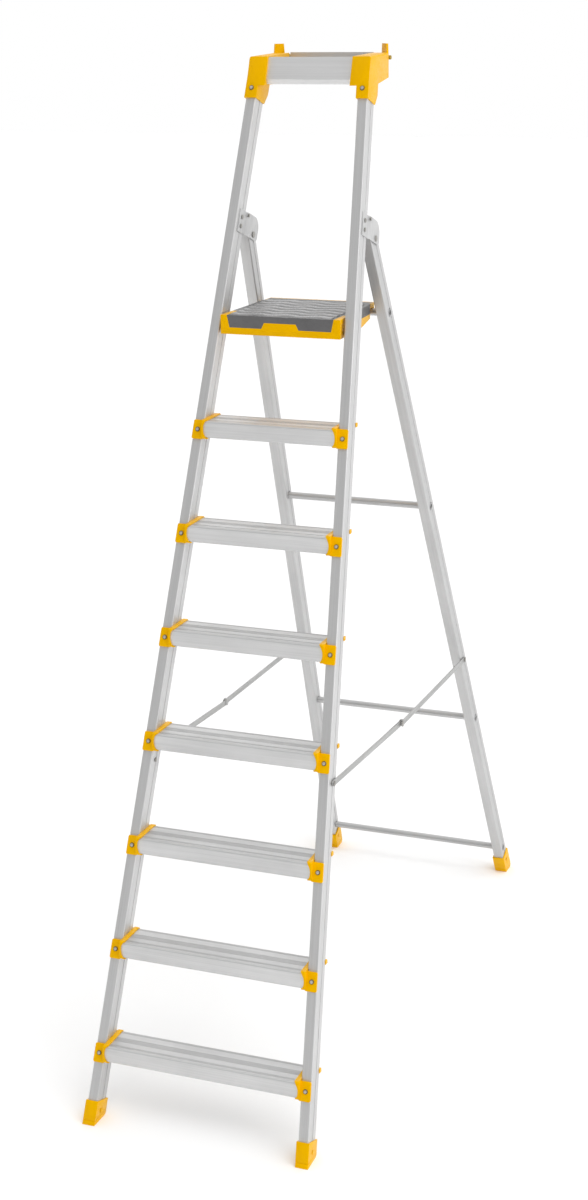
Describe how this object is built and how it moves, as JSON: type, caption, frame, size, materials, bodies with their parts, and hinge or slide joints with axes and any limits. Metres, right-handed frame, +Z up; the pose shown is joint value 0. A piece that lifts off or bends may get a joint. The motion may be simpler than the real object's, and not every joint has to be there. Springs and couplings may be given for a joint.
{
  "type": "platform step ladder",
  "caption": "Folding aluminium step ladder with a standing platform, a guard rail with a tool tray, yellow moulded step ends and feet, and jointed side braces.",
  "frame": {"origin": "on the floor at the middle of the footprint of the open ladder", "axes": "+Z up, +Y from the steps towards the rear legs, +X to the right seen from the front"},
  "size_m": [0.582, 1.7534, 2.448],
  "materials": {
    "aluminium": "satin mill finish with fine lengthwise extrusion lines",
    "yellow_plastic": "fine moulded texture",
    "grey_plastic": "ribbed non-slip surface",
    "dark_plastic": "fine moulded texture",
    "steel": "zinc plated"
  },
  "bodies": {
    "front_frame": {"front_stile_left": "aluminium", "front_stile_right": "aluminium", "front_foot_left": "yellow_plastic", "front_foot_right": "yellow_plastic", "top_cap_left": "yellow_plastic", "top_cap_right": "yellow_plastic", "hinge_plate_outer_left": "steel", "hinge_plate_outer_right": "steel", "hinge_plate_inner_left": "steel", "hinge_plate_inner_right": "steel", "step_bracket_left_1": "yellow_plastic", "step_bracket_left_2": "yellow_plastic", "step_bracket_left_3": "yellow_plastic", "step_bracket_left_4": "yellow_plastic", "step_bracket_left_5": "yellow_plastic", "step_bracket_left_6": "yellow_plastic", "step_bracket_left_7": "yellow_plastic", "step_bracket_right_1": "yellow_plastic", "step_bracket_right_2": "yellow_plastic", "step_bracket_right_3": "yellow_plastic", "step_bracket_right_4": "yellow_plastic", "step_bracket_right_5": "yellow_plastic", "step_bracket_right_6": "yellow_plastic", "step_bracket_right_7": "yellow_plastic", "step_tread_1": "aluminium", "step_tread_2": "aluminium", "step_tread_3": "aluminium", "step_tread_4": "aluminium", "step_tread_5": "aluminium", "step_tread_6": "aluminium", "step_tread_7": "aluminium", "step_screws": "steel", "cap_screws": "steel", "cap_pegs": "dark_plastic", "tool_tray": "aluminium", "hinge_rivets": "steel", "hinge_spacer_rivets": "steel", "hinge_pins": "steel", "front_foot_rivets": "yellow_plastic", "platform_pins": "steel", "brace_front_rivets": "steel"},
    "rear_frame": {"rear_leg_left": "aluminium", "rear_leg_right": "aluminium", "rear_foot_left": "yellow_plastic", "rear_foot_right": "yellow_plastic", "crossbar_lower": "aluminium", "crossbar_middle": "aluminium", "crossbar_upper": "aluminium", "platform_rod": "aluminium", "rear_foot_rivets": "yellow_plastic", "brace_rear_rivets": "steel"},
    "platform": {"platform_frame": "yellow_plastic", "platform_tread": "grey_plastic"},
    "brace_lower_left": {"brace_lower_left": "steel"},
    "brace_upper_left": {"brace_upper_left": "steel", "brace_middle_rivet_left": "steel"},
    "brace_lower_right": {"brace_lower_right": "steel"},
    "brace_upper_right": {"brace_upper_right": "steel", "brace_middle_rivet_right": "steel"}
  },
  "joints": [
    {"name": "fold", "type": "hinge", "parent": "front_frame", "child": "rear_frame", "pos_m": [0, -0.05304, 2.00785], "axis": [-1, 0, 0], "range_deg": [0, 43.85]},
    {"name": "platform_tilt", "type": "hinge", "parent": "front_frame", "child": "platform", "pos_m": [0, -0.20718, 1.80624], "axis": [1, 0, 0], "range_deg": [0, 70.5]},
    {"name": "brace_lower_fold_left", "type": "hinge", "parent": "front_frame", "child": "brace_lower_left", "pos_m": [-0.2406, -0.556, 0.82118], "axis": [1, 0, 0], "range_deg": [0, 69.21]},
    {"name": "brace_upper_fold_left", "type": "hinge", "parent": "rear_frame", "child": "brace_upper_left", "pos_m": [-0.2441, 0.50095, 0.78375], "axis": [-1, 0, 0], "range_deg": [0, 61.05]},
    {"name": "brace_lower_fold_right", "type": "hinge", "parent": "front_frame", "child": "brace_lower_right", "pos_m": [0.2406, -0.556, 0.82118], "axis": [1, 0, 0], "range_deg": [0, 69.21]},
    {"name": "brace_upper_fold_right", "type": "hinge", "parent": "rear_frame", "child": "brace_upper_right", "pos_m": [0.2441, 0.50095, 0.78375], "axis": [-1, 0, 0], "range_deg": [0, 61.05]}
  ],
  "couplings": [
    {"joint": "platform_tilt", "follows": "fold", "ratio": 1.6077},
    {"joint": "brace_lower_fold_left", "follows": "fold", "ratio": 1.5782},
    {"joint": "brace_upper_fold_left", "follows": "fold", "ratio": 1.3921},
    {"joint": "brace_lower_fold_right", "follows": "fold", "ratio": 1.5782},
    {"joint": "brace_upper_fold_right", "follows": "fold", "ratio": 1.3921}
  ]
}
